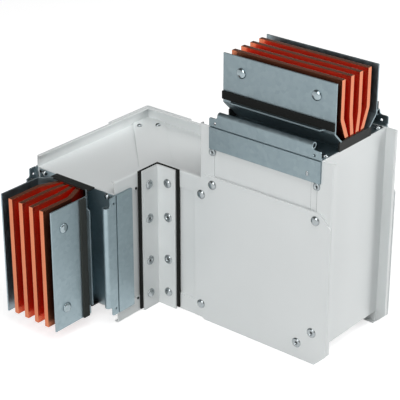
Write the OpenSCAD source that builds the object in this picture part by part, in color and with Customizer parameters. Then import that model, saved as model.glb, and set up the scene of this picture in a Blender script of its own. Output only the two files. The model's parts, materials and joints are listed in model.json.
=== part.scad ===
// Busway section: a four-bar sandwich busway with a flat elbow and an upright riser.
// The housing is four channel trays with flat side panels between them. The bars run
// along the leg, turn flatwise through the elbow, turn edgewise into the riser, and
// spread at both ends for the bolted joints.
// X runs along the riser run, Y across it towards the back, Z up.
// The origin is under the middle of the whole section, on the floor it stands on.

/* [Housing] */
// Width of the housing, outside the side panels
casing_w = 130; // [124:1:150]
// Distance between the floors of opposite trays
pack_h = 159; // [140:1:180]
// Height of a tray's flanges above its floor
rim_h = 16; // [12:1:20]
// Length of the leg, from the elbow's inner corner to the ends of its trays
leg_len = 76; // [70:1:160]
// Distance from the elbow's inner corner to the riser's nearer tray
riser_off = 83.5; // [80:0.5:160]
// Height of the riser's trays above the run's top tray
riser_len = 86; // [80:1:160]
// Thickness of the housing's sheet
sheet_t = 1.5; // [1:0.1:2]
// Width of the return lip along each flange
lip_w = 6; // [4:0.5:8]
// How far a flange reaches past its tray's floor, over the side panel
lap = 6; // [5:0.5:8]

/* [Bars] */
// Thickness of a bus bar
bar_t = 6; // [5:0.5:8]
// Distance between bar centres inside the housing
pack_pitch = 8; // [7.5:0.5:9]
// Distance between bar centres at the joints
joint_pitch = 17.15; // [16:0.05:18]
// Gap between a bar's edge and the outer face of a tray's floor
bar_inset = 2; // [2:0.1:3]
// Radius of the pack's middle line through the elbow
elbow_r = 30; // [25:1:40]
// Inside radius of the small bends that spread the bars
spread_r = 10; // [6:1:14]

/* [Joints] */
// How far the bars and side plates stand out of the trays
joint_len = 84.5; // [80:0.5:90]
// Distance from the pack's middle to a side plate's outer face
plate_out = 41.8; // [38:0.1:43]
// Thickness of a side plate
plate_t = 1.8; // [1.5:0.1:2.2]
// Width of the seal strip across a side plate
seal_w = 9.5; // [8:0.5:11]
// Thickness of the seal strip
seal_t = 2.6; // [2:0.1:3.5]
// Length of a joint bracket's skirt over the housing
skirt_len = 27; // [20:0.5:32]
// Thickness of that skirt
skirt_t = 2.7; // [2.5:0.1:3]
// Height of a joint bracket's hooked flange past the trays' ends
hook_h = 20; // [18:0.5:22]
// Diameter of the pin holes in a joint bracket's tabs
pin_d = 3.4; // [3:0.1:4]

/* [Plates] */
// How far a cover plate reaches past the trays on the inside of the riser's turn
cover_in = 22.8; // [20:0.1:26]
// Size of a cover plate's cut corners
cover_cut = 15.5; // [15:0.5:20]
// Thickness of a cover plate
cover_t = 2; // [1.5:0.1:3]
// Width of each wing of the inner corner angle
angle_w = 32; // [28:0.5:34]
// Width of each wing of the gasket under it
gasket_w = 36; // [35:0.5:44]
// Width of each wing of the outer corner angle
outer_angle_w = 74; // [50:1:80]
// Width of the joint plate along a tray's mitre
mitre_plate_w = 42; // [30:1:50]

/* [Hidden] */

bar_count = 4;
bend_steps = 5;
half_w = casing_w / 2;
riser_far = riser_off + pack_h;
run_bottom = -pack_h;
rim_bottom = run_bottom - rim_h;
leg_end = -leg_len;
// Half the thickness of the pack with a comb's outer teeth
pack_half = (bar_count * pack_pitch + pack_pitch - bar_t) / 2;

// Bends of the spread, measured outwards from the trays' ends
spread_from = 4;
spread_to = 37;
// Bends of a side plate
plate_from = 1;
plate_to = plate_from + plate_out - plate_t / 2 - (pack_half + plate_t / 2);
// A side plate's seal strip, and the lanced ledge that it stands on
seal_from = 28.5;
ledge_out = 7.2;
ledge_inset = 13;
ledge_cut = 3;
inner_leg = 26;
channel_in = 18;

// Joint bracket; the groove is between its skirt and its hooked flange
groove_from = 0.3;
groove_to = 2.2;
groove_deep = 1.9;
tab_h = 12.3;
tab_w = 12;
tab_r = 2;
hook_w = 8.2;
hook_turn = 285;
hook_t = 1.5;
// Height at which the hook begins to roll back, and the round of the notch below it
roll_from = hook_h - hook_w / 2;
notch_r = roll_from - tab_h;
pin_in = 8.7;
pin_up = 6;

// Combs that hold the bars' edges
comb_w = 63;
comb_out = 11.3;
comb_in = 25;
comb_tooth = 8;

// Corner parts
gasket_t = 2.5;
angle_t = 2;
angle_r = 1.5;
gasket_from = -172;
gasket_to = 16.8;
outer_angle_t = 2.5;
mitre_plate_t = 1.5;

paint = [0.84, 0.86, 0.86];
zinc = [0.53, 0.58, 0.61];
copper = [0.80, 0.47, 0.34];
rubber = [0.13, 0.13, 0.12];
plastic = [0.25, 0.25, 0.24];

// Outer limits of the section before it is centred
x_low = -casing_w - skirt_t;
x_high = riser_far + rim_h;
y_low = leg_end - joint_len;
y_high = casing_w + skirt_t;
z_low = rim_bottom;

// ---- Frames -------------------------------------------------------------

// The section's own frame: centred in plan, standing on its lower rims
module placed()
    translate([-(x_low + x_high) / 2, -(y_low + y_high) / 2, -z_low]) children();

// End frames: X across the bars' width from one tray floor to the other,
// Y across the pack from its middle, Z out of the housing
module at_leg() placed() translate([-half_w, leg_end, 0]) rotate([0, 90, -90]) children();
module at_stub() placed() translate([riser_off, half_w, riser_len]) children();

// A drawing in an end frame's Y and Z, carried along X
module along_x(from, to)
    translate([from, 0, 0]) rotate([90, 0, 90]) linear_extrude(to - from) children();
// A drawing in X and Z, carried along Y
module along_y(from, to)
    translate([0, to, 0]) rotate([90, 0, 0]) linear_extrude(to - from) children();
// A drawing in X and Y, carried along Z
module along_z(from, to)
    translate([0, 0, from]) linear_extrude(to - from) children();

// ---- Bent sheet ---------------------------------------------------------

function unit(v) = v / norm(v);
function left_of(a, b) = let (d = unit(b - a)) [-d[1], d[0]];
function turned(v, a) = [v[0] * cos(a) - v[1] * sin(a), v[0] * sin(a) + v[1] * cos(a)];

// Arc of radius r that rounds the corner b of the line a, b, c
function corner_arc(a, b, c, r) =
    let (u = unit(a - b), v = unit(c - b), half = acos(u * v) / 2,
         centre = b + unit(u + v) * r / sin(half),
         first = b + u * r / tan(half) - centre,
         turn = (cross(u, v) < 0 ? 1 : -1) * (180 - 2 * half))
    [for (k = [0:bend_steps]) centre + turned(first, turn * k / bend_steps)];

// Polyline p with its inner corners rounded to radius r
function rounded(p, r) = [
    for (i = [0:len(p) - 1])
        each i == 0 || i == len(p) - 1 ? [p[i]] : corner_arc(p[i - 1], p[i], p[i + 1], r)
];

// Point i of polyline p moved sideways by d, mitred between its two segments
function beside(p, i, d) =
    let (last = len(p) - 1,
         n0 = left_of(p[max(i - 1, 0)], p[max(i, 1)]),
         n1 = left_of(p[min(i, last - 1)], p[min(i + 1, last)]))
    p[i] + d * (n0 + n1) / (1 + n0 * n1);

// Section of a sheet of thickness t whose middle follows polyline p
module strip(p, t) polygon([
    for (i = [0:len(p) - 1]) beside(p, i, t / 2),
    for (i = [len(p) - 1:-1:0]) beside(p, i, -t / 2)
]);

// ---- Trays --------------------------------------------------------------

// Flange with its return lip; side is 1 at the far edge and -1 at the near one
module flange(side) {
    face = side > 0 ? casing_w - sheet_t / 2 : sheet_t / 2;
    strip(rounded([[face, -lap], [face, rim_h - sheet_t / 2],
                   [face - side * (lip_w - sheet_t / 2), rim_h - sheet_t / 2]], sheet_t), sheet_t);
}

// Tray section: floor outer face at height 0, flanges at 0 and casing_w
module tray_section() {
    flange(-1);
    flange(1);
    strip([[sheet_t / 2, -sheet_t / 2], [casing_w - sheet_t / 2, -sheet_t / 2]], sheet_t);
}

// A section drawn across 0 to casing_w, with Y as its height, carried round the
// elbow: down the leg, mitred at the elbow's corner, and along the run to x = to
module around_elbow(to) {
    intersection() {
        translate([-casing_w, 0, 0]) along_y(leg_end, casing_w) children();
        mitre_side(-1);
    }
    intersection() {
        along_x(-casing_w, to) children();
        mitre_side(1);
    }
}

// Large triangular block on the leg's side of the elbow's mitre, or the run's
module mitre_side(side) {
    reach = 2 * casing_w + riser_far;
    along_z(-2 * rim_h, 2 * rim_h)
        polygon([[reach, -reach], [-reach, reach], side * [reach, reach]]);
}

// One tray along the elbow, ending square at x = to
module elbow_tray(to) around_elbow(to) tray_section();

// Block on one side of the mitre through a corner of the riser's turn
module turn_mitre(x, z, side)
    translate([x, 0, z]) along_y(-1, casing_w + 1)
        polygon([[-2 * rim_h, 2 * rim_h], [2 * rim_h, -2 * rim_h], side * [2 * rim_h, 2 * rim_h]]);

module top_tray() color(paint) placed() difference() {
    elbow_tray(riser_off + rim_h);
    turn_mitre(riser_off, 0, 1);
}

module bottom_tray() color(paint) placed() difference() {
    translate([0, 0, run_bottom]) mirror([0, 0, 1]) elbow_tray(riser_far);
    turn_mitre(riser_far, run_bottom, 1);
}

// Upright tray: its floor faces +X when side is 1
module upright_tray(x, from, to, side)
    translate([x, 0, 0]) along_z(from, to)
        rotate(side > 0 ? -90 : 90) translate([side > 0 ? -casing_w : 0, 0]) tray_section();

module riser_inner_tray() color(paint) placed() difference() {
    upright_tray(riser_off, -lap, riser_len, -1);
    turn_mitre(riser_off, 0, -1);
}
module riser_outer_tray() color(paint) placed() difference() {
    upright_tray(riser_far, run_bottom, riser_len, 1);
    turn_mitre(riser_far, run_bottom, -1);
}

// ---- Panels and plates --------------------------------------------------

module leg_panel(x) color(paint) placed()
    translate([x, leg_end, run_bottom + sheet_t])
        cube([sheet_t, leg_len + (x < -half_w ? casing_w - sheet_t : sheet_t), pack_h - 2 * sheet_t]);
module leg_inner_panel() leg_panel(-2 * sheet_t);
module leg_outer_panel() leg_panel(-casing_w + sheet_t);

// L-shaped side panel of the run and riser
module run_panel(y, from) color(paint) placed() along_y(y, y + sheet_t) polygon([
    [from, run_bottom + sheet_t], [riser_far - sheet_t, run_bottom + sheet_t],
    [riser_far - sheet_t, riser_len], [riser_off + sheet_t, riser_len],
    [riser_off + sheet_t, -sheet_t], [from, -sheet_t]
]);
module front_panel() run_panel(sheet_t, -2 * sheet_t);
module back_panel() run_panel(casing_w - 2 * sheet_t, -casing_w + 2 * sheet_t);

// Square cover plate with cut corners over the riser's turn
module cover_plate(y) color(paint) placed() along_y(y, y + cover_t) {
    low = [riser_off - cover_in, rim_bottom];
    high = [riser_far + rim_h, cover_in];
    c = cover_cut;
    polygon([
        [low[0] + c, low[1]], [high[0] - c, low[1]], [high[0], low[1] + c], [high[0], high[1] - c],
        [high[0] - c, high[1]], [low[0] + c, high[1]], [low[0], high[1] - c], [low[0], low[1] + c]
    ]);
}
module front_cover_plate() cover_plate(-cover_t);
module back_cover_plate() cover_plate(casing_w);

// ---- Corner parts -------------------------------------------------------

// Right-angled section with both wings out from the corner, lying off faces
// x = gap and y = -gap of the elbow's inner corner
function angle_line(gap, t, w) =
    let (m = gap + t / 2) [[m, -w], [m, -m], [w, -m]];

module inner_corner_gasket() color(rubber) placed() along_z(gasket_from, gasket_to)
    strip(angle_line(0, gasket_t, gasket_w), gasket_t);
module inner_corner_angle() color(paint) placed() along_z(rim_bottom, rim_h)
    strip(rounded(angle_line(gasket_t, angle_t, angle_w), angle_r), angle_t);
module outer_corner_angle() color(paint) placed() along_z(rim_bottom, rim_h)
    translate([-casing_w, casing_w, 0]) difference() {
        strip(rounded([[-outer_angle_t / 2, -outer_angle_w],
                       [-outer_angle_t / 2, outer_angle_t / 2],
                       [outer_angle_w, outer_angle_t / 2]], outer_angle_t), outer_angle_t);
        translate([0, -outer_angle_w]) square(outer_angle_w);
    }

// Plate over a tray's mitre, between the flanges
module mitre_plate() along_z(0, mitre_plate_t) difference() {
    intersection() {
        translate([-casing_w + sheet_t, leg_end]) square(casing_w - sheet_t - leg_end);
        rotate(45) translate([-mitre_plate_w / 2, 0]) square([mitre_plate_w, 2 * casing_w]);
    }
    translate([-sheet_t, leg_end]) square([casing_w, sheet_t - leg_end]);
}
module top_mitre_plate() color(paint) placed() mitre_plate();
module bottom_mitre_plate() color(paint) placed()
    translate([0, 0, run_bottom]) mirror([0, 0, 1]) mitre_plate();

// ---- Bars ---------------------------------------------------------------

// Offset of a bar from the pack's middle, as a number of pitches
function place_of(i) = i - (bar_count + 1) / 2;

// Spread end of a bar in an end frame, from inside the housing to its tip
module bar_end(i, inside) {
    near = place_of(i) * pack_pitch;
    far = place_of(i) * joint_pitch;
    along_x(bar_inset, pack_h - bar_inset)
        strip(rounded([[near, -inside], [near, spread_from], [far, spread_to], [far, joint_len]],
                      spread_r), bar_t);
}

// One bar: spread end, leg, flatwise elbow, L-shaped upright plate, spread end
module copper_bar(i) color(copper) {
    off = place_of(i) * pack_pitch;
    r = elbow_r + off;
    turn_x = -half_w + elbow_r;
    turn_y = half_w - elbow_r;
    at_leg() bar_end(-i + bar_count + 1, leg_len);
    placed() along_z(run_bottom + bar_inset, -bar_inset) {
        translate([turn_x - r - bar_t / 2, -1]) square([bar_t, turn_y + 1]);
        intersection() {
            translate([turn_x, turn_y]) difference() {
                circle(r = r + bar_t / 2, $fn = 96);
                circle(r = r - bar_t / 2, $fn = 96);
            }
            translate([turn_x - casing_w, turn_y]) square(casing_w);
        }
    }
    placed() along_y(half_w + off - bar_t / 2, half_w + off + bar_t / 2) polygon([
        [turn_x, run_bottom + bar_inset], [riser_far - bar_inset, run_bottom + bar_inset],
        [riser_far - bar_inset, riser_len - 1], [riser_off + bar_inset, riser_len - 1],
        [riser_off + bar_inset, -bar_inset], [turn_x, -bar_inset]
    ]);
    at_stub() bar_end(i, 2);
}

// ---- Joint parts --------------------------------------------------------

// Side plate: leg beside the pack, 45 degree spread, flat blade with a lanced
// ledge for the seal strip; side is 1 or -1
module side_plate(side) color(zinc) {
    near = side * (pack_half + plate_t / 2);
    far = side * (plate_out - plate_t / 2);
    out = side * plate_out;
    difference() {
        along_x(0, pack_h)
            strip(rounded([[near, -inner_leg], [near, plate_from], [far, plate_to],
                           [far, joint_len]], plate_t), plate_t);
        for (x = [-1, pack_h - bar_inset])
            translate([x, -half_w, -inner_leg - 1])
                cube([bar_inset + 1, casing_w, inner_leg + 1 + comb_out]);
    }
    translate([0, out, seal_from - plate_t]) mirror([0, side > 0 ? 0 : 1, 0])
        along_z(0, plate_t) polygon([
            [ledge_inset, 0], [pack_h - ledge_inset, 0],
            [pack_h - ledge_inset - ledge_cut, ledge_out], [ledge_inset + ledge_cut, ledge_out]
        ]);
}

module seal_strip(side) color(rubber)
    translate([0, side > 0 ? plate_out : -plate_out - seal_t, seal_from])
        cube([pack_h, seal_t, seal_w]);

// Joint bracket: skirt on the housing, a groove, and a flange with a tab at each
// end and an edge between the tabs that is rolled back into a round hook
module joint_bracket(side) color(zinc) mirror([0, side > 0 ? 0 : 1, 0]) translate([0, half_w, 0])
    difference() {
        union() {
            translate([0, 0, -skirt_len]) cube([pack_h, skirt_t, skirt_len + groove_from]);
            translate([0, skirt_t - groove_deep - hook_t, 0])
                cube([pack_h, hook_t, groove_to + hook_t]);
            translate([0, skirt_t - groove_deep - hook_t, groove_to])
                cube([pack_h, groove_deep + hook_t, hook_t]);
            translate([0, skirt_t - hook_t, 0]) flange_plate();
            hook();
        }
        for (x = [pin_in, pack_h - pin_in])
            translate([x, -1, pin_up]) rotate([-90, 0, 0])
                cylinder(h = skirt_t + 2, d = pin_d, $fn = 32);
    }

// Rolled edge of a joint bracket's flange, between its tabs
module hook() {
    face = skirt_t - hook_t / 2;
    r = (hook_w - hook_t) / 2;
    steps = 3 * bend_steps;
    roll = [for (k = [0:steps]) [face - r, roll_from] + turned([r, 0], hook_turn * k / steps)];
    along_x(tab_w, pack_h - tab_w) strip(concat([[face, tab_h - tab_r]], roll), hook_t);
}

// Flat flange with a tab at each end, rounded at its outer corner, and a rounded
// notch between each tab and the hook
module flange_plate() {
    translate([0, 0, groove_to]) cube([pack_h, hook_t, tab_h - tab_r - groove_to]);
    tab();
    translate([pack_h, 0, 0]) mirror([1, 0, 0]) tab();
}
module tab() {
    translate([tab_r, 0, groove_to]) cube([tab_w - tab_r, hook_t, tab_h - groove_to]);
    translate([tab_r, 0, tab_h - tab_r]) disc(tab_r);
    difference() {
        translate([tab_w - notch_r, 0, tab_h]) cube([notch_r, hook_t, notch_r]);
        translate([tab_w - notch_r, 0, roll_from]) disc(notch_r);
    }
}

// Disc as thick as the flange, standing in its plane
module disc(r) rotate([-90, 0, 0]) cylinder(h = hook_t, r = r, $fn = 32);

// Channel that closes the space between the pack and a side panel
module end_channel(side) color(zinc) {
    near = pack_half + plate_t + sheet_t / 2;
    far = half_w - 2.5 * sheet_t;
    mirror([0, side > 0 ? 0 : 1, 0]) along_x(sheet_t, pack_h - sheet_t)
        strip(rounded([[near, -channel_in], [near, -sheet_t / 2],
                       [far, -sheet_t / 2], [far, -channel_in]], sheet_t), sheet_t);
}

// Comb across the bars' edges: outer strip, tongue under the tray, and a tooth
// on each side of every bar
module comb() color(plastic) {
    gap = pack_pitch - bar_t;
    translate([0, -comb_w / 2, 0]) cube([bar_inset, comb_w, comb_out]);
    translate([sheet_t, -pack_half, -comb_in])
        cube([bar_inset - sheet_t, 2 * pack_half, comb_in]);
    for (i = [0:bar_count])
        translate([bar_inset, (i - bar_count / 2) * pack_pitch - gap / 2, -comb_in])
            cube([comb_tooth, gap, comb_in]);
}

module leg_comb_top() at_leg() comb();
module leg_comb_bottom() at_leg() translate([pack_h, 0, 0]) mirror([1, 0, 0]) comb();
module stub_comb_inner() at_stub() comb();
module stub_comb_outer() at_stub() translate([pack_h, 0, 0]) mirror([1, 0, 0]) comb();

// ---- Output -------------------------------------------------------------

copper_bar(1);  // copper_bar_1
copper_bar(2);  // copper_bar_2
copper_bar(3);  // copper_bar_3
copper_bar(4);  // copper_bar_4
top_tray();
bottom_tray();
riser_inner_tray();
riser_outer_tray();
leg_inner_panel();
leg_outer_panel();
front_panel();
back_panel();
front_cover_plate();
back_cover_plate();
inner_corner_angle();
inner_corner_gasket();
outer_corner_angle();
top_mitre_plate();
bottom_mitre_plate();
at_leg() side_plate(1);  // leg_side_plate_inner
at_leg() side_plate(-1);  // leg_side_plate_outer
at_stub() side_plate(-1);  // stub_side_plate_front
at_stub() side_plate(1);  // stub_side_plate_back
at_leg() seal_strip(1);  // leg_seal_strip_inner
at_leg() seal_strip(-1);  // leg_seal_strip_outer
at_stub() seal_strip(-1);  // stub_seal_strip_front
at_stub() seal_strip(1);  // stub_seal_strip_back
at_leg() joint_bracket(1);  // leg_joint_bracket_inner
at_leg() joint_bracket(-1);  // leg_joint_bracket_outer
at_stub() joint_bracket(-1);  // stub_joint_bracket_front
at_stub() joint_bracket(1);  // stub_joint_bracket_back
at_leg() end_channel(1);  // leg_end_channel_inner
at_leg() end_channel(-1);  // leg_end_channel_outer
at_stub() end_channel(-1);  // stub_end_channel_front
at_stub() end_channel(1);  // stub_end_channel_back
leg_comb_top();
leg_comb_bottom();
stub_comb_inner();
stub_comb_outer();
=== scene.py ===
"""Busway section: a flat elbow with an upright riser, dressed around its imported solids.

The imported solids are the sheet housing, the bars and the joint parts. This file gives each
of them its finish, adds the small fasteners and marks, and sets the floor, the lamps and
the camera. Places and sizes that end in _mm, and those of the fasteners, are in millimetres.
All else is in metres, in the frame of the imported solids.
"""

import json
import logging
import math
from dataclasses import dataclass, replace
from enum import Enum

import bpy
import numpy as np
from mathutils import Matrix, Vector
from numpy.typing import ArrayLike


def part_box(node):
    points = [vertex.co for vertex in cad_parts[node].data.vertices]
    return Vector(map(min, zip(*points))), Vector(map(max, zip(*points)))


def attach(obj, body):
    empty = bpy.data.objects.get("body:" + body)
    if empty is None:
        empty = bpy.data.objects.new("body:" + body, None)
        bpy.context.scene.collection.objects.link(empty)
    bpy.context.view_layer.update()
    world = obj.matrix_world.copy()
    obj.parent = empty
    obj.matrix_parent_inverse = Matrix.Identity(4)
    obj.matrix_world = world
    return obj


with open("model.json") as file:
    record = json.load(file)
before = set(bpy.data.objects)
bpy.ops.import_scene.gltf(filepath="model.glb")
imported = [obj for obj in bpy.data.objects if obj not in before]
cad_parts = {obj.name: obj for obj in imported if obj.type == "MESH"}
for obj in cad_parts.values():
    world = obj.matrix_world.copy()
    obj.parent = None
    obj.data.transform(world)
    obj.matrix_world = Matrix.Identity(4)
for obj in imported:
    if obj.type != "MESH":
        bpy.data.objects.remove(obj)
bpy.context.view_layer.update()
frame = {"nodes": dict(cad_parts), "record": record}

MM = 0.001
ROOT = "root"
LOG = logging.getLogger("busway_section")

# Starts of the names of the leg's galvanised parts, and of its seals.
LEG_SHEETS = ("leg_side_plate", "leg_joint_bracket", "leg_end_channel")
LEG_SEALS = "leg_seal_strip"
# The riser's two broad sides, with the sign of each side's outward direction in Y.
SIDES = (("front", -1.0), ("back", 1.0))

# Sockets of the Mix node: its factor, two values, two colours and the mixed colour.
FACTOR, VALUE_A, VALUE_B, COLOUR_A, COLOUR_B, COLOUR_OUT = 0, 2, 3, 6, 7, 2
# Samples of the nodes that look at what lies around a point of the surface.
BEVEL_SAMPLES = 6
OCCLUSION_SAMPLES = 8

# Output of a node, by name or number.
Output = tuple[bpy.types.Node, str | int]
# Linear red, green, blue and alpha.
Colour = tuple[float, float, float, float]
Point = tuple[float, float, float]


class Slot(Enum):
    """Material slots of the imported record."""

    COPPER = "copper"
    PAINTED = "painted_sheet"
    GALVANISED = "galvanised_sheet"
    RUBBER = "seal_rubber"
    INSULATOR = "insulator"


# ---- Shading helpers ----------------------------------------------------


def linear(code: str) -> Colour:
    """Turns an sRGB hex colour into linear red, green, blue and alpha.

    Args:
        code: Colour such as "#D4D8D8".

    Returns:
        Linear components from 0 to 1, with an alpha of 1.
    """
    parts = np.array([int(code[i : i + 2], 16) for i in (1, 3, 5)]) / 255
    low, high = parts / 12.92, ((parts + 0.055) / 1.055) ** 2.4
    return (*(float(c) for c in np.where(parts <= 0.04045, low, high)), 1.0)


def add_node(
    tree: bpy.types.NodeTree,
    kind: str,
    sockets: dict[str | int, object] | None = None,
    **settings: object,
) -> bpy.types.Node:
    """Adds one node with its settings and links.

    Args:
        tree: Node tree that takes the node.
        kind: Type of the node, without its "ShaderNode".
        sockets: Input names or numbers, each with a value or a (node, output) pair to link.
        **settings: Properties of the node itself.

    Returns:
        The new node.
    """
    node = tree.nodes.new("ShaderNode" + kind)
    for name, value in settings.items():
        setattr(node, name, value)
    for name, value in (sockets or {}).items():
        if isinstance(value, tuple) and isinstance(value[0], bpy.types.Node):
            tree.links.new(value[0].outputs[value[1]], node.inputs[name])
        else:
            node.inputs[name].default_value = value
    return node


class Surface:
    """Node material under construction, with its texture place and its usual nodes."""

    def __init__(self, name: str) -> None:
        """Starts an empty node material of that name."""
        self.material = bpy.data.materials.new(name)
        self.material.use_nodes = True
        self.tree = self.material.node_tree
        self.tree.nodes.clear()
        self.place = (add_node(self.tree, "TexCoord"), "Object")

    def noise(self, size_mm: float, detail: float = 2.0) -> Output:
        """Noise whose features are that many millimetres across."""
        sockets = {"Vector": self.place, "Scale": 1 / (size_mm * MM), "Detail": detail}
        return add_node(self.tree, "TexNoise", sockets), "Fac"

    def cells(self, size_mm: float) -> bpy.types.Node:
        """Random value of each crystal cell, in its red, green and blue outputs."""
        sockets = {"Vector": self.place, "Scale": 1 / (size_mm * MM)}
        cells = add_node(self.tree, "TexVoronoi", sockets)
        return add_node(self.tree, "SeparateColor", {"Color": (cells, "Color")})

    def mix(self, factor: Output, low: Output | Colour, high: Output | Colour) -> Output:
        """Colour between two others, which are outputs or fixed colours."""
        sockets = {FACTOR: factor, COLOUR_A: low, COLOUR_B: high}
        return add_node(self.tree, "Mix", sockets, data_type="RGBA"), COLOUR_OUT

    def shade(self, factor: Output, low: str, high: str) -> Output:
        """Colour between two hex colours."""
        return self.mix(factor, linear(low), linear(high))

    def span(self, factor: Output, ends: tuple[float, float]) -> Output:
        """Value between two ends."""
        sockets = {"Value": factor, "To Min": ends[0], "To Max": ends[1]}
        return add_node(self.tree, "MapRange", sockets), "Result"

    def normal(
        self, edge_mm: float, height: Output | None = None, depth_mm: float = 0.0
    ) -> Output:
        """Normal with softened edges, and with a relief of that depth where one is given."""
        radius = {"Radius": edge_mm * MM}
        edge = add_node(self.tree, "Bevel", radius, samples=BEVEL_SAMPLES)
        if height is None:
            return edge, "Normal"
        sockets = {"Distance": depth_mm * MM, "Height": height, "Normal": (edge, "Normal")}
        return add_node(self.tree, "Bump", sockets), "Normal"

    def finish(self, **sockets: object) -> bpy.types.Material:
        """Closes the material with a principled shader; an underscore stands for a space."""
        named = {name.replace("_", " "): value for name, value in sockets.items()}
        shader = add_node(self.tree, "BsdfPrincipled", named)
        add_node(self.tree, "OutputMaterial", {"Surface": (shader, "BSDF")})
        return self.material


# ---- Finishes -----------------------------------------------------------


@dataclass(frozen=True)
class PowderCoat:
    """Polyester powder coat on bent sheet: pale grey, satin, with a faint orange peel."""

    pale: str = "#DFE3E3"
    deep: str = "#D9DDDD"
    drift_mm: float = 70.0
    peel_mm: float = 1.6
    peel_depth_mm: float = 0.012
    edge_mm: float = 0.35
    roughness: tuple[float, float] = (0.33, 0.40)
    gloss: float = 0.8

    def material(self) -> bpy.types.Material:
        """Builds the coat: slow drift of shade, orange peel, and softened sheet edges."""
        surface = Surface("powder_coated_sheet")
        drift = surface.noise(self.drift_mm)
        peel = surface.noise(self.peel_mm, detail=1.0)
        return surface.finish(
            Base_Color=surface.shade(drift, self.deep, self.pale),
            Roughness=surface.span(drift, self.roughness),
            Specular_IOR_Level=self.gloss,
            Normal=surface.normal(self.edge_mm, peel, self.peel_depth_mm),
        )


@dataclass(frozen=True)
class GalvanisedSheet:
    """Continuously galvanised steel sheet: blue-grey zinc with a small, faint spangle."""

    name: str
    pale: str
    deep: str
    spangle_mm: float = 5.0
    grain_mm: float = 0.5
    grain_share: float = 0.4
    grain_depth_mm: float = 0.004
    edge_mm: float = 0.35
    roughness: tuple[float, float] = (0.38, 0.5)

    def material(self) -> bpy.types.Material:
        """Builds the zinc: crystals that differ a little in shade and gloss."""
        surface = Surface(self.name)
        grain = surface.noise(self.grain_mm)
        crystals = surface.cells(self.spangle_mm)
        sockets = {FACTOR: self.grain_share, VALUE_A: (crystals, "Red"), VALUE_B: grain}
        blend = add_node(surface.tree, "Mix", sockets)
        return surface.finish(
            Base_Color=surface.shade((blend, 0), self.deep, self.pale),
            Metallic=1.0,
            Roughness=surface.span((crystals, "Green"), self.roughness),
            Normal=surface.normal(self.edge_mm, grain, self.grain_depth_mm),
        )


@dataclass(frozen=True)
class DrawnCopper:
    """Bare drawn copper bar: pinkish metal, with painted red inter-reflection where bars face
    each other closely.

    The plate side is 1 for the bar next to the elbow's inner corner, whose face towards +X
    and -Y looks at a side plate, -1 for the bar furthest from it, and 0 for the others. The
    face that looks at a plate gets painted shade instead of the painted red where it is closed
    in, because a plate reflects no red.
    """

    name: str
    plate_side: int = 0
    bright: str = "#D78663"
    tarnished: str = "#C67656"
    # deep is the painted red of light bounced between bars; dull is painted shade where a
    # closed-in face looks at a plate.
    deep: str = "#D61C00"
    dull: str = "#2C100A"
    tarnish_mm: float = 22.0
    line_mm: float = 1.2
    edge_mm: float = 0.3
    reach_mm: float = 30.0
    openness: tuple[float, float] = (0.35, 0.7)
    deep_metal: float = 0.4
    roughness: tuple[float, float] = (0.13, 0.22)

    def material(self) -> bpy.types.Material:
        """Builds the copper: tarnish, draw lines, and painted red inter-reflection between
        bars.
        """
        surface = Surface(self.name)
        tree = surface.tree
        reach = {"Distance": self.reach_mm * MM}
        # Painted light: closed-in faces take the deep red base colour for bounced light, or the
        # dull painted shade where they face a plate.
        around = add_node(tree, "AmbientOcclusion", reach, samples=OCCLUSION_SAMPLES)
        ends = dict(zip(("From Min", "From Max"), self.openness))
        opened = add_node(tree, "MapRange", {"Value": (around, "AO"), **ends}), "Result"
        to_plate = (self.plate_side, -self.plate_side, 0.0)
        facing = {0: (surface.place[0], "Normal"), 1: to_plate}
        facing = add_node(tree, "VectorMath", facing, operation="DOT_PRODUCT")
        at_plate = add_node(tree, "Clamp", {"Value": (facing, "Value")}), "Result"
        painted_interreflection = surface.shade(at_plate, self.deep, self.dull)
        tarnish = surface.noise(self.tarnish_mm, detail=4.0)
        face = surface.shade(tarnish, self.bright, self.tarnished)
        return surface.finish(
            Base_Color=surface.mix(opened, painted_interreflection, face),
            Metallic=surface.span(opened, (self.deep_metal, 1.0)),
            Roughness=surface.span(surface.noise(self.line_mm, detail=1.0), self.roughness),
            Specular_IOR_Level=0.0,
            Normal=surface.normal(self.edge_mm),
        )


@dataclass(frozen=True)
class MattPolymer:
    """Black rubber or dark moulded insulator: dull, with a fine grain."""

    name: str
    pale: str
    deep: str
    grain_mm: float
    grain_depth_mm: float
    roughness: float
    gloss: float
    edge_mm: float = 0.4

    def material(self) -> bpy.types.Material:
        """Builds the polymer: a fine grain in the shade and in the surface."""
        surface = Surface(self.name)
        grain = surface.noise(self.grain_mm, detail=3.0)
        return surface.finish(
            Base_Color=surface.shade(grain, self.deep, self.pale),
            Roughness=self.roughness,
            Specular_IOR_Level=self.gloss,
            Normal=surface.normal(self.edge_mm, grain, self.grain_depth_mm),
        )


@dataclass(frozen=True)
class PlainSteel:
    """Steel of rivets and screws, slightly worn, without a bend or an edge to soften."""

    name: str
    pale: str
    deep: str
    roughness: tuple[float, float]
    wear_mm: float = 1.5

    def material(self) -> bpy.types.Material:
        """Builds the steel: worn patches a little duller and darker than the rest."""
        surface = Surface(self.name)
        wear = surface.noise(self.wear_mm)
        return surface.finish(
            Base_Color=surface.shade(wear, self.deep, self.pale),
            Metallic=1.0,
            Roughness=surface.span(wear, self.roughness),
        )


# Powder coat of the housing's trays, panels, plates and corner angles.
PAINT = PowderCoat()
# Zinc of the riser's joint parts, painted darker, and a lighter copy for the leg's: the two
# tones are painted light and shade of one zinc.
RISER_ZINC = GalvanisedSheet("galvanised_steel_sheet", "#8F9EA3", "#85949A")
LIT_LEG_ZINC = GalvanisedSheet("leg_galvanised_sheet_painted_lighter", "#9EAEB4", "#94A4AA")
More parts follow.
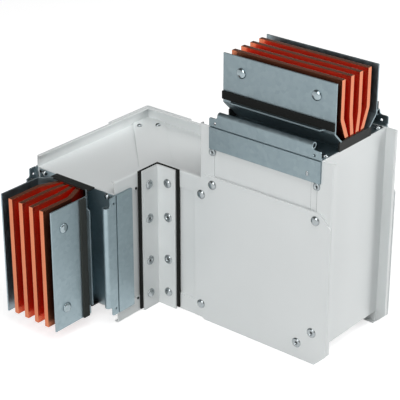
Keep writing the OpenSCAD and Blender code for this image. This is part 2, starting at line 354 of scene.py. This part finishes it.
# The two middle bars, the bar next to the elbow's inner corner, and the one furthest from it.
MIDDLE_BAR = DrawnCopper("drawn_copper_bar")
INNER_BAR = DrawnCopper("drawn_copper_inner_bar", 1)
OUTER_BAR = DrawnCopper("drawn_copper_outer_bar", -1)
# EPDM seal: dead black, slightly porous.
SEAL_RUBBER = MattPolymer("epdm_seal_rubber", "#1E1F1E", "#151615", 0.7, 0.03, 0.8, 0.15)
# Seal of the leg's joint: the same rubber, painted lighter for the stronger light on the leg's
# faces.
LIT_LEG_RUBBER = MattPolymer("leg_epdm_rubber_painted_lighter", "#3A3D3B", "#303331", 0.9, 0.03, 0.8, 0.2)
# Glass-filled moulding compound: dark grey, with an eggshell surface from the mould.
INSULATOR = MattPolymer("moulded_insulator", "#1F2120", "#191B1A", 1.0, 0.02, 0.6, 0.3)
# Painted shadow along the edge of a sheet lap, as a thin grey line.
LAP_SHADOW_PAINT = MattPolymer("lap_edge_painted_shadow", "#A2A8A7", "#949A99", 0.6, 0.01, 0.8, 0.2, 0.02)
# Dull zinc of the side plates' bolt domes, near the sheet's own tone.
DULL_STEEL = PlainSteel("dull_zinc_steel", "#A2AFB3", "#909DA2", (0.2, 0.12))
# Grey passivated steel of the riser's small blind rivets, duller than the bright heads.
GREY_STEEL = PlainSteel("grey_passivated_steel", "#A4ABAD", "#969D9F", (0.5, 0.4))
# Bright zinc plating of the other heads: smooth and silvery.
PLATED_STEEL = PlainSteel("zinc_plated_steel", "#A8AEB0", "#92989A", (0.28, 0.16))
# Phosphated mandrel of a blind rivet, broken off, and the mouth round it: nearly black, partly
# the steel's own tone and partly painted shade of the hollow.
MANDREL_AND_SHADE_STEEL = PlainSteel("mandrel_steel_painted_shade", "#2E2F30", "#1E1F20", (0.6, 0.45))


# ---- Places -------------------------------------------------------------


@dataclass(frozen=True)
class Datum:
    """Reference levels of the housing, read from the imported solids.

    The origin is the elbow's inner corner, at the level of the top tray's floor, which lies
    the rim's height below the tray's top.
    """

    rim_mm: float = 16.0

    def origin(self) -> np.ndarray:
        """Inner corner of the elbow at the top tray's floor."""
        low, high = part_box("inner_corner_gasket")
        return np.array([low.x, high.y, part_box("top_tray")[1].z - self.rim_mm * MM])

    def at(self, points_mm: ArrayLike) -> np.ndarray:
        """Points given in millimetres from the datum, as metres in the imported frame."""
        return self.origin() + np.asarray(points_mm, float) * MM


def lap_face(side: str, sign: float) -> float:
    """Y of the face on the riser's laps that the cover plate of that side seats on."""
    low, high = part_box(f"{side}_cover_plate")
    return high.y if sign < 0 else low.y


@dataclass(frozen=True)
class JointEnd:
    """Frame of one open end: w across the bars' width, t across the pack, s outwards.

    The origin is at one edge of the bars, in the middle of the pack, at the housing's end.
    """

    origin: np.ndarray
    width: np.ndarray
    across: np.ndarray
    outward: np.ndarray
    width_mm: float = 159.0

    def at(self, w: float, t: float, s: float) -> np.ndarray:
        """Point at those distances in millimetres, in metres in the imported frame."""
        return self.origin + MM * (w * self.width + t * self.across + s * self.outward)

    def corners(self, inset: float, t: float, s: float) -> np.ndarray:
        """Four points at that inset from both edges, on both sides of the pack."""
        edges = (inset, self.width_mm - inset)
        return np.array([self.at(w, side * t, s) for w in edges for side in (-1, 1)])


def joint_ends() -> dict[str, JointEnd]:
    """Frames of the leg's end and of the riser's end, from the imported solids."""
    x, y, z = np.eye(3)
    plate_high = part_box("leg_side_plate_inner")[1]
    comb_low, comb_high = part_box("leg_comb_top")
    leg = np.array([(comb_low.x + comb_high.x) / 2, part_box("top_tray")[0].y, plate_high.z])
    plate_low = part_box("stub_side_plate_front")[0]
    comb_low, comb_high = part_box("stub_comb_inner")
    riser_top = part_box("riser_inner_tray")[1].z
    stub = np.array([plate_low.x, (comb_low.y + comb_high.y) / 2, riser_top])
    return {"leg": JointEnd(leg, -z, x, -y), "stub": JointEnd(stub, x, y, z)}


# ---- Fasteners ----------------------------------------------------------


@dataclass(frozen=True)
class Head:
    """Head of a rivet or screw, as a profile turned about its axis.

    Each row of the profile is a radius and a height above the seat. The first rows, up to
    the given number, and the face that closes them take the head's second finish.
    """

    profile_mm: tuple[tuple[float, float], ...]
    inner_rows: int = 0
    stretch: tuple[float, float] = (1.0, 1.0)
    steps: int = 40

    def grid(self) -> np.ndarray:
        """Points of the head, rows by steps by 3, about the Z axis, in metres."""
        radius, height = np.array(self.profile_mm).T[:, :, None] * MM
        angle = np.linspace(0, 2 * math.pi, self.steps, endpoint=False)
        wide, tall = self.stretch
        across = wide * radius * np.cos(angle)
        along = tall * radius * np.sin(angle)
        return np.stack([across, along, np.broadcast_to(height, across.shape)], -1)


# Height of a head's root, which sinks into the seat so that no gap shows under the head.
ROOT_HEIGHT = -0.3
# Radius of a dome's root, as a share of the dome's own.
ROOT_SHARE = 0.9
# Number of a dome's rings, and the angle from its axis to the first of them.
DOME_RINGS = 12
DOME_START = 0.12


def dome(radius: float, edge: float, rise: float, tall: float = 1.0) -> Head:
    """Domed head: a quarter of an ellipse turned over a thin upright edge.

    Args:
        radius: Radius of the head in millimetres.
        edge: Height of its upright edge.
        rise: Height of the dome over that edge.
        tall: Stretch of the head along the seat's second axis.

    Returns:
        The head.
    """
    turns = np.linspace(DOME_START, math.pi / 2, DOME_RINGS)
    rings = tuple((radius * math.sin(turn), edge + rise * math.cos(turn)) for turn in turns)
    root = ((radius, 0.0), (radius * ROOT_SHARE, ROOT_HEIGHT))
    return Head(rings + root, stretch=(1.0, tall))


# Solid rivet: a full dome over a thin cylindrical edge.
DOME = dome(5.75, 0.4, 2.7)
# Dome that closes a side plate's insulated bolt.
LARGE_DOME = dome(6.4, 0.5, 2.4)
# Button head of the screws in the end channels.
BUTTON = dome(3.9, 0.8, 3.0)
# Small screw head on the mitre plates.
SMALL_BUTTON = dome(3.4, 0.7, 2.5)
# Push-in clip that holds the corner gasket's edge.
CLIP = dome(1.7, 0.3, 0.9)
# Upright oval nib pressed out of a joint bracket's skirt.
NIB = dome(1.9, 0.1, 1.1, 1.7)
# Blind rivet: domed flange round a dished mouth with the broken mandrel in it. Mouth and
# mandrel take the nearly black finish, partly painted shade.
BLIND = Head(
    (
        (0.4, 0.9), (1.2, 0.8), (1.5, 0.5),
        (1.7, 0.5), (2.3, 1.2), (3.0, 1.6), (4.2, 1.75), (5.2, 1.35), (5.9, 0.7), (6.15, 0.3),
        (6.15, 0.0), (5.5, ROOT_HEIGHT),
    ),
    inner_rows=3,
)
# Smaller blind rivet of the riser's laps.
SMALL_BLIND = replace(BLIND, stretch=(0.8, 0.8))


def seat_frames(axes: np.ndarray) -> np.ndarray:
    """Right-handed frames whose third axis is each given unit axis.

    Args:
        axes: Unit vectors, one to a row.

    Returns:
        Array of 3 by 3 frames, whose rows are the local axes.
    """
    # Any helper does that lies well away from the seat's own axis.
    upright = np.abs(axes[:, 2:3]) > 0.9
    helper = np.where(upright, [[1.0, 0.0, 0.0]], [[0.0, 0.0, 1.0]])
    first = np.cross(helper, axes)
    first /= np.linalg.norm(first, axis=1, keepdims=True)
    return np.stack([first, np.cross(axes, first), axes], axis=1)


def turned_faces(rows: int, steps: int) -> tuple[np.ndarray, np.ndarray, np.ndarray]:
    """Faces of one turned head, whose points run ring by ring from the top.

    Args:
        rows: Number of rings.
        steps: Number of points in each ring.

    Returns:
        Quads between the rings, the face that closes the first ring, and the face that
        closes the last one.
    """
    ring, step = np.meshgrid(np.arange(rows - 1), np.arange(steps), indexing="ij")
    here, after = ring * steps + step, ring * steps + (step + 1) % steps
    quads = np.stack([here, here + steps, after + steps, after], axis=-1).reshape(-1, 4)
    first = np.arange(steps)[None]
    return quads, first, first[:, ::-1] + (rows - 1) * steps


def heads_mesh(name: str, head: Head, seats: np.ndarray, axes: np.ndarray) -> bpy.types.Mesh:
    """Closed mesh of one head on each seat.

    Args:
        name: Name of the mesh.
        head: Profile of the head.
        seats: Seat centres, one to a row, in metres.
        axes: Unit axes that point out of the seats.

    Returns:
        The mesh, with smooth faces. Those of its inner rows have the material index 1.
    """
    grid = head.grid()
    rows, steps = grid.shape[:2]
    points = np.einsum("rsk,nkj->nrsj", grid, seat_frames(axes)) + seats[:, None, None, :]
    count = len(seats)
    shift = rows * steps * np.arange(count)[:, None, None]
    faces = []
    for group in turned_faces(rows, steps):
        faces += (group + shift).reshape(-1, group.shape[1]).tolist()
    mesh = bpy.data.meshes.new(name)
    mesh.from_pydata(points.reshape(-1, 3).tolist(), [], faces)
    inner = np.repeat(np.arange(rows - 1) < head.inner_rows - 1, steps)
    caps = np.repeat([head.inner_rows > 0, False], count)
    indices = np.concatenate([np.tile(inner, count), caps]).astype(np.int32)
    mesh.polygons.foreach_set("material_index", indices)
    mesh.shade_smooth()
    mesh.validate()
    return mesh


def boxes_mesh(name: str, boxes: list[tuple[Point, Point]]) -> bpy.types.Mesh:
    """Closed mesh of upright boxes.

    Args:
        name: Name of the mesh.
        boxes: Lowest and highest corner of each box, in metres.

    Returns:
        The mesh, with its faces outwards.
    """
    corner = np.array([(i & 1, i >> 1 & 1, i >> 2) for i in range(8)])
    floor, roof = (0, 2, 3, 1), (4, 5, 7, 6)
    walls = (0, 1, 5, 4), (2, 6, 7, 3), (0, 4, 6, 2), (1, 3, 7, 5)
    low, high = np.array(boxes, float).transpose(1, 0, 2)[:, :, None]
    points = (low + corner * (high - low)).reshape(-1, 3)
    shift = len(corner) * np.arange(len(boxes))[:, None, None]
    faces = (np.array([floor, roof, *walls]) + shift).reshape(-1, 4)
    mesh = bpy.data.meshes.new(name)
    mesh.from_pydata(points.tolist(), [], faces.tolist())
    return mesh


@dataclass(frozen=True)
class Kit:
    """Finishes of the small parts, and the way they are set."""

    steel: bpy.types.Material
    dull: bpy.types.Material
    grey: bpy.types.Material
    mandrel_and_shade: bpy.types.Material
    # Grey of the painted shadow lines along the laps.
    rubber: bpy.types.Material
    lap_shadow: bpy.types.Material

    def set_heads(
        self,
        name: str,
        head: Head,
        seats: ArrayLike,
        axes: ArrayLike,
        finish: bpy.types.Material | None = None,
    ) -> None:
        """Sets a group of equal heads as one piece.

        Args:
            name: Name of the piece.
            head: Profile of the head.
            seats: Seat centres in metres, one to a row.
            axes: Outward unit axis of each seat, or one axis for all of them.
            finish: Finish of the heads, or bright steel where none is given.
        """
        seats = np.asarray(seats, float)
        axes = np.broadcast_to(np.asarray(axes, float), seats.shape)
        finishes = [finish or self.steel]
        # Inner rows take the nearly black finish, partly painted shade of a rivet's hollow
        # mouth.
        if head.inner_rows:
            finishes.append(self.mandrel_and_shade)
        add_piece(name, heads_mesh(name, head, seats, axes), finishes)


def add_piece(
    name: str, mesh: bpy.types.Mesh, finishes: list[bpy.types.Material]
) -> None:
    """Adds a finished piece that rides on the section's one body.

    Args:
        name: Name of the piece.
        mesh: Its mesh, in place.
        finishes: Its finishes, in the order of the mesh's material indices.
    """
    piece = bpy.data.objects.new(name, mesh)
    for material in finishes:
        mesh.materials.append(material)
    bpy.context.scene.collection.objects.link(piece)
    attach(piece, ROOT)
    LOG.info("%s: %d faces", name, len(mesh.polygons))


# ---- Sub-assemblies -----------------------------------------------------


@dataclass
class SolidFinishes:
    """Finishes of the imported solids."""

    by_slot: dict[Slot, bpy.types.Material]
    by_name: dict[str, bpy.types.Material]

    def dress(self) -> None:
        """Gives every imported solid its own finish, or the finish of its slot."""
        slots = {row["node"]: Slot(row["material_slot"]) for row in frame["record"]["subparts"]}
        for name, solid in frame["nodes"].items():
            solid.data.materials.clear()
            solid.data.materials.append(self.by_name.get(name, self.by_slot[slots[name]]))
            LOG.info("%s: %s", name, solid.data.materials[0].name)


@dataclass
class CoverPlateRivets:
    """Domed and blind rivets of the two square cover plates over the riser's turn.

    Distances are in millimetres from the plate's edge on the elbow's side and from its top.
    """

    domes: tuple[tuple[float, float], ...] = (
        (27.4, 10.4), (10.4, 27.4), (177.0, 10.4), (10.4, 177.0),
    )
    blind: tuple[tuple[float, float], ...] = ((177.0, 156.2), (156.2, 177.0))

    def build(self, kit: Kit) -> None:
        """Sets the rivets on both plates."""
        groups = (("domes", DOME, self.domes), ("blind_rivets", BLIND, self.blind))
        for side, sign in SIDES:
            low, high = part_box(f"{side}_cover_plate")
            face = low.y if sign < 0 else high.y
            for kind, head, spots in groups:
                seats = [(low.x + x * MM, face, high.z - z * MM) for x, z in spots]
                kit.set_heads(f"{side}_cover_{kind}", head, seats, (0.0, sign, 0.0))


@dataclass
class PanelRivets:
    """Blind rivets through the laps of the riser's trays, just below the riser's brackets."""

    x_mm: tuple[float, ...] = (86.2, 236.6)
    z_mm: float = 53.9

    def build(self, datum: Datum, kit: Kit) -> None:
        """Sets the rivets on the laps of both sides."""
        for side, sign in SIDES:
            seats = datum.at([(x, 0.0, self.z_mm) for x in self.x_mm])
            seats[:, 1] = lap_face(side, sign)
            name = f"{side}_panel_rivets"
            kit.set_heads(name, SMALL_BLIND, seats, (0.0, sign, 0.0), kit.grey)


@dataclass
class LapLines:
    """Thin lines of painted shadow along the edges of the riser's laps, between bracket and
    cover plate.

    Each line is an x, a distance behind the lap's face, and a width, in millimetres. A line
    runs from under the cover plate to behind the bracket's skirt.
    """

    lines: tuple[tuple[float, float, float], ...] = ((237.3, 0.0, 0.45), (228.0, 1.5, 0.3))
    below_plate: float = 0.5
    skirt_end: float = 59.0
    depth: float = 0.04

    def build(self, datum: Datum, kit: Kit) -> None:
        """Sets the lines as thin closed strips on the front and on the back."""
        top = datum.at((0.0, 0.0, self.skirt_end))[2]
        for side, sign in SIDES:
            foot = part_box(f"{side}_cover_plate")[1].z - self.below_plate * MM
            strips = []
            for x, behind, width in self.lines:
                left = datum.at((x - width / 2, 0.0, 0.0))[0]
                seat = lap_face(side, sign) - sign * behind * MM
                near, far = sorted((seat, seat + sign * self.depth * MM))
                strips.append(((left, near, foot), (left + width * MM, far, top)))
            name = f"{side}_painted_lap_shadows"
            # Each strip is a thin grey line of painted shadow.
            add_piece(name, boxes_mesh(name, strips), [kit.lap_shadow])


@dataclass
class SkirtNib:
    """Nib pressed out of the front skirt of the riser's bracket, near its right end."""

    x_mm: float = 224.7
    z_mm: float = 67.8

    def build(self, datum: Datum, kit: Kit) -> None:
        """Sets the nib on the skirt's face."""
        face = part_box("stub_joint_bracket_front")[0].y
        x, _, z = datum.at((self.x_mm, 0.0, self.z_mm))
        kit.set_heads("skirt_nib", NIB, [(x, face, z)], (0.0, -1.0, 0.0))


@dataclass
class InnerAngleRivets:
    """Row of rivets through each wing of the inner corner angle.

    Distances are in millimetres from the datum: along a wing from the corner, out to the
    wing's face, and up to each rivet.
    """

    from_corner: float = 20.3
    face: float = 4.5
    domes: tuple[float, ...] = (-4.7, -154.4)
    blind: tuple[float, ...] = (-50.7, -108.5)

    def build(self, datum: Datum, kit: Kit) -> None:
        """Sets the rivets on both wings."""
        groups = (("domes", DOME, self.domes), ("blind_rivets", BLIND, self.blind))
        for kind, head, heights in groups:
            spots = [(self.face, -self.from_corner, z) for z in heights]
            spots += [(self.from_corner, -self.face, z) for z in heights]
            axes = [(1.0, 0.0, 0.0)] * len(heights) + [(0.0, -1.0, 0.0)] * len(heights)
            kit.set_heads(f"inner_angle_{kind}", head, datum.at(spots), axes)


@dataclass
class GasketClips:
    """Push-in clips at the corner gasket's edge, on the leg's inner panel."""

    from_corner: float = 39.4
    heights: tuple[float, ...] = (-4.5, -155.5)

    def build(self, datum: Datum, kit: Kit) -> None:
        """Sets the clips."""
        seats = datum.at([(0.0, -self.from_corner, z) for z in self.heights])
        kit.set_heads("gasket_clips", CLIP, seats, (1.0, 0.0, 0.0), kit.rubber)


@dataclass
class MitreScrews:
    """Two small screws through each tray's mitre plate, across the mitre."""

    spots: tuple[tuple[float, float], ...] = ((-115.7, 97.2), (-98.2, 113.9))

    def build(self, datum: Datum, kit: Kit) -> None:
        """Sets the screws on the upper and on the lower plate."""
        for side, sign in (("top", 1.0), ("bottom", -1.0)):
            low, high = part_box(f"{side}_mitre_plate")
            face = high.z if sign > 0 else low.z
            seats = datum.at([(x, y, 0.0) for x, y in self.spots])
            seats[:, 2] = face
            kit.set_heads(f"{side}_mitre_screws", SMALL_BUTTON, seats, (0.0, 0.0, sign))


@dataclass
class JointFixings:
    """Bolt domes of the side plates, screws of the end channels, and dark plugs beside the
    screws that are painted shade of small gaps.

    All are in millimetres: insets from the bars' edges, offsets and the plates' outer faces
    from the pack's middle, and the domes' height from the housing's end.
    """

    dome_inset: float = 26.4
    dome_height: float = 65.0
    plate_out: float = 41.8
    screw_inset: float = 5.5
    screw_offset: float = 52.5
    shade_plug_inset: float = 5.5
    shade_plug_offset: float = 59.6

    def build(self, ends: dict[str, JointEnd], kit: Kit) -> None:
        """Sets the domes, screws and painted-shade plugs of both ends."""
        for name, end in ends.items():
            seats = end.corners(self.dome_inset, self.plate_out, self.dome_height)
            axes = np.array([side * end.across for side in (-1, 1)] * 2)
            kit.set_heads(f"{name}_side_plate_domes", LARGE_DOME, seats, axes, kit.dull)
            seats = end.corners(self.screw_inset, self.screw_offset, 0.0)
            kit.set_heads(f"{name}_end_screws", BUTTON, seats, end.outward)
            # Dark rubber domes put where small gaps beside the screws show only shade: painted
            # shade.
            seats = end.corners(self.shade_plug_inset, self.shade_plug_offset, 0.0)
            kit.set_heads(f"{name}_end_shade_plugs", CLIP, seats, end.outward, kit.rubber)


# ---- Studio -------------------------------------------------------------


@dataclass(frozen=True)
class Lamp:
    """Square soft lamp that faces the section, from an azimuth and an elevation in degrees."""

    name: str
    azimuth: float
    elevation: float
    watts: float
    size: float = 1.3
    distance: float = 2.4


def heading(azimuth: float, elevation: float) -> Vector:
    """Unit vector at an azimuth from the front towards the right, and at an elevation."""
    turn, lift = math.radians(azimuth), math.radians(elevation)
    flat = math.cos(lift)
    return Vector((math.sin(turn) * flat, -math.cos(turn) * flat, math.sin(lift)))


def seen_rays(tree: bpy.types.NodeTree) -> Output:
    """Factor that is 1 for rays of the camera and of gloss or glass, and 0 for lighting."""
    rays = add_node(tree, "LightPath")
    seen = (rays, "Is Camera Ray")
    for kind in ("Is Glossy Ray", "Is Transmission Ray"):
        seen = (add_node(tree, "Math", {0: seen, 1: (rays, kind)}, operation="MAXIMUM"), 0)
    return seen


@dataclass
class Studio:
    """Pale floor, dim room, plain lamps and the camera.

    The wall fade is the rise, as the sine of an elevation, over which the walls go from
    white to dim. The lens and the sensor are in millimetres.
    """

    azimuth: float = 39.635
    elevation: float = 25.585
    distance: float = 1.9257
    target: Point = (-0.06176, 0.09416, 0.11103)
    lens: float = 135.9
    sensor: float = 36.0
    clip: tuple[float, float] = (0.01, 50.0)
    floor_size: float = 12.0
    floor_gap: float = 0.0005
    floor_glow: float = 0.68
    floor_colour: str = "#CECECE"
    room_glow: float = 0.125
    room_colour: str = "#FFFFFF"
    wall_fade: tuple[float, float] = (0.14, 0.3)
    lamps: tuple[Lamp, ...] = (
        Lamp("front_lamp", 12.0, 27.0, 25.0),
        Lamp("high_lamp", 45.0, 62.0, 18.0),
        Lamp("right_lamp", 125.0, 24.0, 21.0, 0.9),
        Lamp("back_lamp", 132.0, 55.0, 15.0),
    )

    def floor(self) -> None:
        """Lays a pale floor that is white to the eye and keeps the section's shadow."""
        half, z = self.floor_size / 2, -self.floor_gap
        mesh = bpy.data.meshes.new("floor")
        corners = [(-half, -half, z), (half, -half, z), (half, half, z), (-half, half, z)]
        mesh.from_pydata(corners, [], [(0, 1, 2, 3)])
        floor = bpy.data.objects.new("floor", mesh)
        bpy.context.scene.collection.objects.link(floor)
        material = bpy.data.materials.new("pale_floor")
        material.use_nodes = True
        tree = material.node_tree
        tree.nodes.clear()
        seen = seen_rays(tree)
        glow = add_node(tree, "Math", {0: seen, 1: self.floor_glow}, operation="MULTIPLY")
        paint = add_node(tree, "BsdfDiffuse", {"Color": linear(self.floor_colour)})
        light = add_node(tree, "Emission", {"Strength": (glow, 0)})
        both = add_node(tree, "AddShader", {0: (paint, "BSDF"), 1: (light, "Emission")})
        add_node(tree, "OutputMaterial", {"Surface": (both, "Shader")})
        mesh.materials.append(material)

    def room(self) -> None:
        """Sets a dim room whose walls are white to the eye up to a low height."""
        world = bpy.data.worlds.new("room")
        bpy.context.scene.world = world
        world.use_nodes = True
        tree = world.node_tree
        tree.nodes.clear()
        way = add_node(tree, "SeparateXYZ", {0: (add_node(tree, "TexCoord"), "Generated")})
        low, high = self.wall_fade
        fade = {"Value": (way, "Z"), "From Min": high, "From Max": low}
        wall = add_node(tree, "MapRange", fade, interpolation_type="SMOOTHSTEP")
        sockets = {0: seen_rays(tree), 1: (wall, "Result")}
        white = add_node(tree, "Math", sockets, operation="MULTIPLY")
        glow = add_node(tree, "Math", {0: (white, 0), 1: self.room_glow}, operation="MAXIMUM")
        sockets = {"Color": linear(self.room_colour), "Strength": (glow, 0)}
        room = add_node(tree, "Background", sockets)
        add_node(tree, "OutputWorld", {"Surface": (room, "Background")})

    def place(
        self, name: str, data: bpy.types.ID, way: Vector, distance: float
    ) -> bpy.types.Object:
        """Places a lamp or camera at that distance from the target, facing the target."""
        item = bpy.data.objects.new(name, data)
        item.location = Vector(self.target) + way * distance
        item.rotation_mode = "QUATERNION"
        item.rotation_quaternion = (-way).to_track_quat("-Z", "Y")
        bpy.context.scene.collection.objects.link(item)
        return item

    def build(self) -> None:
        """Sets up the floor, the room, the lamps and the camera."""
        bpy.context.scene.view_settings.view_transform = "Standard"
        self.floor()
        self.room()
        for lamp in self.lamps:
            light = bpy.data.lights.new(lamp.name, "AREA")
            light.size, light.energy = lamp.size, lamp.watts
            self.place(lamp.name, light, heading(lamp.azimuth, lamp.elevation), lamp.distance)
        data = bpy.data.cameras.new("camera")
        data.lens, data.sensor_width = self.lens, self.sensor
        data.clip_start, data.clip_end = self.clip
        way = heading(self.azimuth, self.elevation)
        bpy.context.scene.camera = self.place("camera", data, way, self.distance)


def main() -> None:
    """Dresses the solids, adds the fasteners and marks, and sets the studio."""
    logging.basicConfig(level=logging.INFO, format="%(message)s")
    by_slot = {
        Slot.COPPER: MIDDLE_BAR.material(),
        Slot.PAINTED: PAINT.material(),
        Slot.GALVANISED: RISER_ZINC.material(),
        Slot.RUBBER: SEAL_RUBBER.material(),
        Slot.INSULATOR: INSULATOR.material(),
    }
    # The leg's lighter zinc and seal are painted light: copies of the riser's, lighter for the
    # leg's brighter-lit faces.
    lit_leg_zinc, leg_seal = LIT_LEG_ZINC.material(), LIT_LEG_RUBBER.material()
    by_name = {name: lit_leg_zinc for name in frame["nodes"] if name.startswith(LEG_SHEETS)}
    by_name |= {name: leg_seal for name in frame["nodes"] if name.startswith(LEG_SEALS)}
    by_name["copper_bar_1"] = INNER_BAR.material()
    by_name["copper_bar_4"] = OUTER_BAR.material()
    kit = Kit(
        steel=PLATED_STEEL.material(),
        dull=DULL_STEEL.material(),
        grey=GREY_STEEL.material(),
        mandrel_and_shade=MANDREL_AND_SHADE_STEEL.material(),
        rubber=by_slot[Slot.RUBBER],
        lap_shadow=LAP_SHADOW_PAINT.material(),
    )
    datum, ends = Datum(), joint_ends()
    SolidFinishes(by_slot, by_name).dress()
    CoverPlateRivets().build(kit)
    PanelRivets().build(datum, kit)
    LapLines().build(datum, kit)
    SkirtNib().build(datum, kit)
    InnerAngleRivets().build(datum, kit)
    GasketClips().build(datum, kit)
    MitreScrews().build(datum, kit)
    JointFixings().build(ends, kit)
    Studio().build()


if __name__ == "__main__":
    main()
